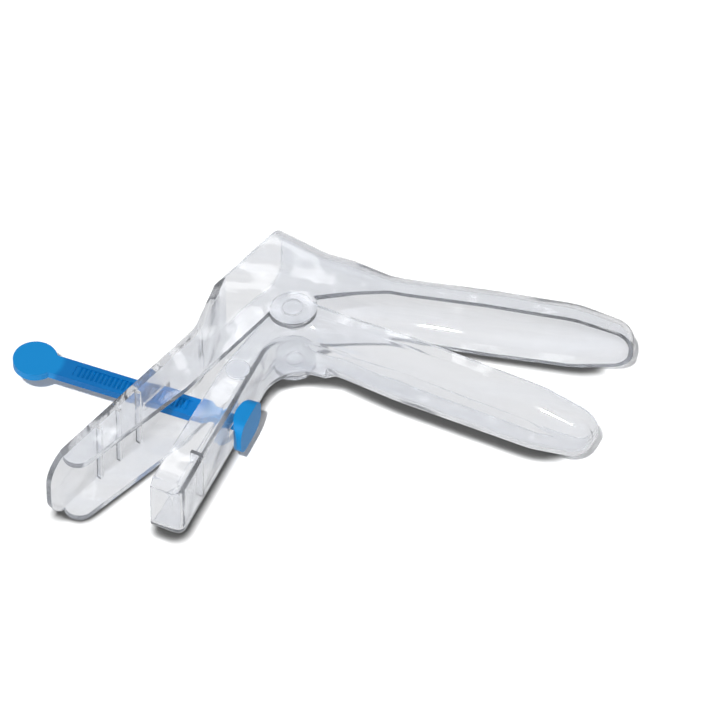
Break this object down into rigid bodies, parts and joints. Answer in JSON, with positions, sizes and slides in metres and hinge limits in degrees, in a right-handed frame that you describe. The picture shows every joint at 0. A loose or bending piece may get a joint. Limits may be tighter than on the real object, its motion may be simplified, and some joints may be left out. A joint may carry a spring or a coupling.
{
  "type": "bivalve speculum",
  "caption": "Clear moulded bivalve speculum: two duck-billed blades hinged at side ears, two channel handles and a ratchet locking bar with a thumb disc.",
  "frame": {"origin": "on the hinge axis, at the side face that the speculum lies on", "axes": "+Z along the hinge axis, up from the resting side; +X along the upper blade to its tip; +Y from the lower blade to the upper blade's back"},
  "size_m": [0.201, 0.1211, 0.028],
  "materials": {
    "upper_valve_plastic": "clear, polished",
    "lower_valve_plastic": "clear, polished",
    "bar_plastic": "opaque blue, satin gloss"
  },
  "bodies": {
    "upper": {"upper_valve": "upper_valve_plastic"},
    "lower": {"lower_valve": "lower_valve_plastic"},
    "bar": {"locking_bar": "bar_plastic"}
  },
  "joints": [
    {"name": "valve_hinge", "type": "hinge", "parent": "upper", "child": "lower", "pos_m": [0, 0, 0.014], "axis": [0, 0, -1], "range_deg": [-19.1, 15]},
    {"name": "bar_pivot", "type": "hinge", "parent": "lower", "child": "bar", "pos_m": [0.00129, -0.04453, 0.014], "axis": [0, 0, 1], "range_deg": [-14.5, 11.5]}
  ],
  "couplings": [
    {"joint": "bar_pivot", "follows": "valve_hinge", "ratio": 0.75}
  ]
}
